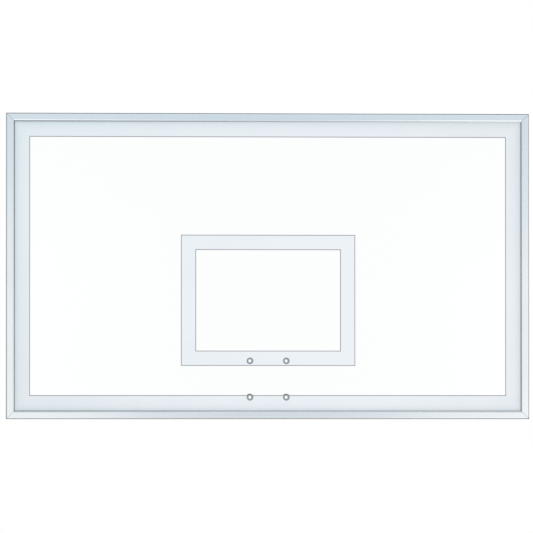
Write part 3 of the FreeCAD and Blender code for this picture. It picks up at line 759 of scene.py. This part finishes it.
class BACKBOARD_OT_glass(BackboardOperator):
    """Make the glass pane, with its polished edges and goal holes"""
    bl_idname = "backboard.glass"
    bl_label = "Glass Pane"

    def execute(self, context):
        glass = context.scene.backboard_glass
        middles = bushing_circles("upper", 0) + bushing_circles("lower", 0)
        holes = [circle(x, z, glass.hole / 2) for x, z, _ in middles]

        def outline(inset):
            half_width = HALF_WIDTH - GLASS_EDGE - inset
            half_height = HALF_HEIGHT - GLASS_EDGE - inset
            rounding = np.full((4, 1), glass.corner_radius - inset)
            return rounded_section(np.hstack([rectangle(half_width, half_height, 0), rounding]))

        sections = [[outline(inset), *holes] for inset in (glass.arris, 0, 0, glass.arris)]
        depths = (GLASS_FRONT, GLASS_FRONT + glass.arris, GLASS_REAR - glass.arris, GLASS_REAR)
        pane = upright_piece("glass_pane", sections, depths)
        stands_for(pane, "glass_panel", glass_finish(glass))
        return {"FINISHED"}


def border_marking(marking):
    """The border stripe: a rectangle with a smaller one cut out, which dips round the lower bushings."""
    half_width = HALF_WIDTH - marking.border_inset
    half_height = HALF_HEIGHT - marking.border_inset
    inner = rectangle(half_width, half_height, 0)
    notches = []
    for x, z, radius in bushing_circles("lower", marking.bushing_air):
        rise = math.asin((-half_height - z) / radius)
        notches.append(arc_points(x, z, radius, math.pi - rise, 2 * math.pi + rise, HOLE_STEPS))
    inner = np.concatenate([inner[:1], *notches, inner[1:]])
    outer = rectangle(HALF_WIDTH - BORDER_EDGE, HALF_HEIGHT - BORDER_EDGE, 0)
    finish = enamel_finish("border_enamel", [(half_width, half_height, 0.0, 1)], marking)
    stands_for(marking_piece("border_marking", [outer, inner]), "border_stripe", finish)


def target_marking(marking):
    """The target: a rectangle with a smaller one and two circles for the upper bushings cut out."""
    stripe = marking.target_stripe
    outer = (TARGET_HALF_WIDTH, TARGET_HALF_HEIGHT, TARGET_MIDDLE)
    inner = (TARGET_HALF_WIDTH - stripe, TARGET_HALF_HEIGHT - stripe, TARGET_MIDDLE)
    holes = [circle(x, z, radius) for x, z, radius in bushing_circles("upper", marking.bushing_air)]
    piece = marking_piece("target_marking", [rectangle(*outer), rectangle(*inner), *holes])
    finish = enamel_finish("target_enamel", [(*outer, -1), (*inner, 1)], marking)
    stands_for(piece, "target_stripe", finish)


class BACKBOARD_OT_markings(BackboardOperator):
    """Make the border and target stripes, cut clear of the goal bushings"""
    bl_idname = "backboard.markings"
    bl_label = "Markings"

    def execute(self, context):
        border_marking(context.scene.backboard_markings)
        target_marking(context.scene.backboard_markings)
        return {"FINISHED"}


class BACKBOARD_OT_bushings(BackboardOperator):
    """Finish the goal bushings and their rear halves"""
    bl_idname = "backboard.bushings"
    bl_label = "Goal Bushings"

    def execute(self, context):
        grey = context.scene.backboard_hardware.nylon
        nylon = plain_finish("moulded_nylon", colours=(toned(grey, 0.9), grey), roughness=(0.55, 0.42),
                             patch_scale=60.0, grain_scale=1500.0, strength=0.2, distance=0.0001)
        dress([start + place for start in ("goal_bushing_", "bushing_retainer_") for place in PLACES], nylon)
        return {"FINISHED"}


class BACKBOARD_OT_brackets(BackboardOperator):
    """Make the mounting brackets with eased edges, and finish the tapped plates and the fasteners"""
    bl_idname = "backboard.brackets"
    bl_label = "Brackets and Fasteners"

    def execute(self, context):
        hardware = context.scene.backboard_hardware
        zinc = (hardware.zinc_dull, hardware.zinc)
        plated = plain_finish("plated_bracket", colours=zinc, roughness=(0.46, 0.30), patch_scale=28.0,
                              grain_scale=500.0, strength=0.12, distance=0.0002, metallic=1.0)
        bright = plain_finish("plated_fastener", colours=zinc, roughness=(0.36, 0.24), patch_scale=120.0,
                              grain_scale=1500.0, strength=0.08, distance=0.0001, metallic=1.0)
        for place in PLACES:
            node = "mount_bracket_" + place
            bracket = eased_piece("hanging_bracket_" + place, node, hardware.bracket_ease)
            stands_for(bracket, node, plated)
        dress([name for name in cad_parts
               if name.startswith(("tapped_plate", "bracket_", "corner_key_screws"))], bright)
        return {"FINISHED"}


class BACKBOARD_OT_inside(BackboardOperator):
    """Finish the corner keys and the rubber blocks inside the rails"""
    bl_idname = "backboard.inside"
    bl_label = "Corner Keys and Blocks"

    def execute(self, context):
        hardware = context.scene.backboard_hardware
        grey, black = hardware.cast, hardware.block
        cast = plain_finish("cast_key", colours=(toned(grey, 0.85), grey), roughness=(0.62, 0.50),
                            patch_scale=40.0, grain_scale=700.0, strength=0.3, distance=0.0003, metallic=1.0)
        rubber = plain_finish("block_rubber", colours=(black, toned(black, 1.6)), roughness=(0.70, 0.80),
                              patch_scale=30.0, grain_scale=800.0, strength=0.3, distance=0.0002)
        dress(["corner_key_" + corner for corner in CORNERS], cast)
        dress(["setting_blocks", "edge_blocks"], rubber)
        return {"FINISHED"}


def soft_lamp(name, power, colour, size, position, target):
    """An area lamp turned to a target, which neither the camera nor reflections show."""
    data = bpy.data.lights.new(name, "AREA")
    data.energy = power
    data.color = colour
    data.shape = "RECTANGLE"
    data.size, data.size_y = size
    lamp = bpy.data.objects.new(name, data)
    lamp.location = position
    lamp.rotation_euler = (Vector(target) - Vector(position)).to_track_quat("-Z", "Y").to_euler()
    lamp.visible_camera = False
    lamp.visible_glossy = False
    lamp.visible_transmission = False
    bpy.context.scene.collection.objects.link(lamp)


def studio_world(fill):
    """A white studio with dark walls.

    Straight and refracted rays see plain white. Reflections see white before the board, pale blue to the
    upper left, pale grey behind it, dark grey walls at the sides, and darker ones above and below. All else
    is lit evenly.
    """
    even_white = (0.98, 1.0, 1.01)
    pale_blue, pale_grey = (0.80, 0.88, 0.92), (0.76, 0.80, 0.83)
    side_wall, level_wall = (0.22, 0.24, 0.25), (0.05, 0.055, 0.055)
    world = bpy.data.worlds.new("studio")
    world.use_nodes = True
    world.cycles.sampling_method = "NONE"
    tree = world.node_tree
    tree.nodes.clear()
    axis = add(tree, "SeparateXYZ", {0: add(tree, "TexCoord", {}).outputs["Generated"]}).outputs
    slant = ramp(tree, reckon(tree, "SUBTRACT", axis["X"], axis["Z"]), low=-0.5, high=0.4)
    lit = ramp(tree, reckon(tree, "ABSOLUTE", axis["Y"]), low=0.48, high=0.76)
    sideways = ramp(tree, reckon(tree, "ABSOLUTE", axis["X"]), low=0.3, high=0.8)
    behind = ramp(tree, axis["Y"], low=-0.2, high=0.4)
    round_about = blended(tree, behind, blended(tree, slant, pale_blue, WHITE), pale_grey)
    walls = blended(tree, lit, blended(tree, sideways, level_wall, side_wall), round_about)
    light_path = add(tree, "LightPath", {}).outputs
    seen = reckon(tree, "MAXIMUM", light_path["Is Camera Ray"], light_path["Is Transmission Ray"])
    even = add(tree, "Background", {"Color": even_white, "Strength": fill}).outputs[0]
    mirrored = add(tree, "Background", {"Color": walls, "Strength": 1.0}).outputs[0]
    plain = add(tree, "Background", {"Color": WHITE, "Strength": 1.0}).outputs[0]
    reflected = add(tree, "MixShader", {0: light_path["Is Glossy Ray"], 1: even, 2: mirrored}).outputs[0]
    shown = add(tree, "MixShader", {0: seen, 1: reflected, 2: plain}).outputs[0]
    add(tree, "OutputWorld", {"Surface": shown})
    return world


def card_tones(stage):
    """The card's material, by its X and Z.

    Its tone goes from the middle to the sides and from its lower half to its upper half, is dimmer along its
    left and right, brighter at its foot and its lower right, and fades out towards its rim.
    """
    material, tree, shader, vector = new_material("card_tones")
    tree.nodes.remove(shader)
    place = add(tree, "SeparateXYZ", {0: vector}).outputs
    out = reckon(tree, "ABSOLUTE", place["X"])
    down = reckon(tree, "MULTIPLY", place["Z"], -1.0)
    side = ramp(tree, out, low=0.15, high=1.15)
    lower = blended(tree, side, stage.low_middle, stage.low_sides)
    upper = blended(tree, side, stage.high_middle, stage.high_sides)
    tone = blended(tree, ramp(tree, place["Z"], low=-0.12, high=0.6), lower, upper)
    rims = ramp(tree, out, low=1.15, high=1.45)
    corner = ramp(tree, reckon(tree, "SUBTRACT", place["X"], place["Z"]), low=1.55, high=1.9)
    foot = reckon(tree, "MULTIPLY", ramp(tree, down, low=1.1, high=1.5), side)
    strength = CARD_GLOW
    for share, gain in ((rims, CARD_SIDE_GAIN), (corner, CARD_CORNER_GAIN), (foot, CARD_FOOT_GAIN)):
        strength = reckon(tree, "MULTIPLY_ADD", share, gain, strength)
    beyond = 0.0
    for distance, edge in ((down, -CARD_LOW), (place["Z"], CARD_HIGH), (out, CARD_HALF_WIDTH)):
        beyond = reckon(tree, "MAXIMUM", ramp(tree, distance, edge - CARD_RIM, edge), beyond)
    cleared(tree, beyond, add(tree, "Emission", {"Color": tone, "Strength": strength}))
    material.cycles.emission_sampling = "NONE"
    return material


def reflector_card(stage):
    """An upright rectangle that only reflections show, its middle where the camera's view reflects."""
    y = FRONT - stage.card_gap
    corners = [(-CARD_HALF_WIDTH, y, CARD_LOW), (CARD_HALF_WIDTH, y, CARD_LOW),
               (CARD_HALF_WIDTH, y, CARD_HIGH), (-CARD_HALF_WIDTH, y, CARD_HIGH)]
    card = new_object("reflector_card", corners, [(3, 2, 1, 0)])
    card.location.x = stage.card_gap * math.tan(stage.turn)
    card.visible_camera = False
    card.visible_diffuse = False
    card.visible_transmission = False
    card.visible_shadow = False
    card.data.materials.append(card_tones(stage))


def floor_finish():
    """A pale matt floor, clear from below and towards its rim."""
    material, tree, shader, place = new_material("pale_floor")
    finish = mottled(tree, place, colours=(toned(WHITE, 0.86), toned(WHITE, 0.88)), roughness=(0.75, 0.85),
                     patch_scale=0.8, grain_scale=60.0)
    feed(tree, shader, finish["Color"], finish["Roughness"], finish["Height"], strength=0.05, distance=0.002)
    level = add(tree, "VectorMath", {0: place, 1: (1.0, 1.0, 0.0)}, operation="MULTIPLY").outputs[0]
    out = add(tree, "VectorMath", {0: level}, operation="LENGTH").outputs["Value"]
    faded = ramp(tree, out, FLOOR_FADES * FLOOR_RADIUS, FLOOR_GONE * FLOOR_RADIUS)
    below = add(tree, "NewGeometry", {}).outputs["Backfacing"]
    cleared(tree, reckon(tree, "MAXIMUM", faded, below), shader)
    return material


def studio_floor(height):
    """A round floor: a grid of rings and spokes at one height, with one face inside the first ring."""
    share, angle = np.meshgrid(np.linspace(FLOOR_HUB, 1, FLOOR_RINGS),
                               np.linspace(0, 2 * np.pi, FLOOR_SPOKES, endpoint=False), indexing="ij")
    points = np.stack([FLOOR_RADIUS * share * np.cos(angle), FLOOR_RADIUS * share * np.sin(angle),
                       np.full_like(share, height)], axis=-1).reshape(-1, 3)
    here = np.arange(len(points)).reshape(FLOOR_RINGS, FLOOR_SPOKES)
    after = np.roll(here, -1, axis=1)
    faces = np.stack([here[:-1], here[1:], after[1:], after[:-1]], axis=-1).reshape(-1, 4)
    floor = new_object("studio_floor", points.tolist(), faces.tolist() + [here[0].tolist()])
    floor.visible_glossy = False
    floor.data.materials.append(floor_finish())


def studio_camera(stage):
    """A camera turned and lifted round the point it aims at, whose lens takes in the view's width there."""
    data = bpy.data.cameras.new("camera")
    data.sensor_width = SENSOR_WIDTH
    data.lens = SENSOR_WIDTH * stage.distance / stage.view_width
    data.clip_end = CAMERA_REACH
    camera = bpy.data.objects.new("camera", data)
    target = Vector((stage.aim[0], FRONT, stage.aim[1]))
    level = math.cos(stage.lift)
    back = Vector((-math.sin(stage.turn) * level, -math.cos(stage.turn) * level, math.sin(stage.lift)))
    camera.location = target + back * stage.distance
    camera.rotation_euler = (-back).to_track_quat("-Z", "Y").to_euler()
    bpy.context.scene.collection.objects.link(camera)
    return camera


class BACKBOARD_OT_stage(BackboardOperator):
    """Set up the camera, the studio light and the floor"""
    bl_idname = "backboard.stage"
    bl_label = "Studio"

    def execute(self, context):
        stage = context.scene.backboard_stage
        context.scene.view_settings.view_transform = "Standard"
        context.scene.world = studio_world(stage.fill)
        studio_floor(-HALF_HEIGHT - stage.floor_drop)
        reflector_card(stage)
        soft_lamp("front_lamp", stage.key_power, colour=(1.0, 0.95, 0.93), size=(1.6, 1.2),
                  position=(0.3, -2.6, -0.2), target=(0.3, 0.0, -0.2))
        soft_lamp("window_lamp", stage.window_power, colour=(0.35, 1.0, 0.95), size=(1.0, 1.0),
                  position=(-1.7, -1.5, 1.0), target=(-0.7, 0.0, 0.3))
        soft_lamp("rear_lamp", stage.rear_power, colour=WHITE, size=(4.0, 2.5),
                  position=(-2.6, 5.0, 3.4), target=(0.0, 0.0, 0.0))
        context.scene.camera = studio_camera(stage)
        return {"FINISHED"}


MAKERS = (BACKBOARD_OT_rails, BACKBOARD_OT_seals, BACKBOARD_OT_glass, BACKBOARD_OT_markings,
          BACKBOARD_OT_bushings, BACKBOARD_OT_brackets, BACKBOARD_OT_inside, BACKBOARD_OT_stage)
SETTINGS = {
    "backboard_rails": RailProperties,
    "backboard_seals": SealProperties,
    "backboard_markings": MarkingProperties,
    "backboard_glass": GlassProperties,
    "backboard_hardware": HardwareProperties,
    "backboard_stage": StageProperties,
}


class BACKBOARD_PT_panel(bpy.types.Panel):
    """Lists the makers and their settings"""
    bl_idname = "BACKBOARD_PT_panel"
    bl_label = "Backboard"
    bl_space_type = "VIEW_3D"
    bl_region_type = "UI"
    bl_category = "Backboard"

    def draw(self, context):
        for maker in MAKERS:
            self.layout.operator(maker.bl_idname)
        for name, group in SETTINGS.items():
            box = self.layout.box()
            box.label(text=group.__doc__)
            for setting in group.__annotations__:
                box.prop(getattr(context.scene, name), setting)


CLASSES = (*SETTINGS.values(), *MAKERS, BACKBOARD_PT_panel)


def register():
    for known in CLASSES:
        bpy.utils.register_class(known)
    for name, group in SETTINGS.items():
        setattr(bpy.types.Scene, name, bpy.props.PointerProperty(type=group))


def unregister():
    for name in SETTINGS:
        delattr(bpy.types.Scene, name)
    for known in reversed(CLASSES):
        bpy.utils.unregister_class(known)


def main():
    register()
    bpy.ops.backboard.rails()
    bpy.ops.backboard.seals()
    bpy.ops.backboard.glass()
    bpy.ops.backboard.markings()
    bpy.ops.backboard.bushings()
    bpy.ops.backboard.brackets()
    bpy.ops.backboard.inside()
    bpy.ops.backboard.stage()


if __name__ == "__main__":
    main()
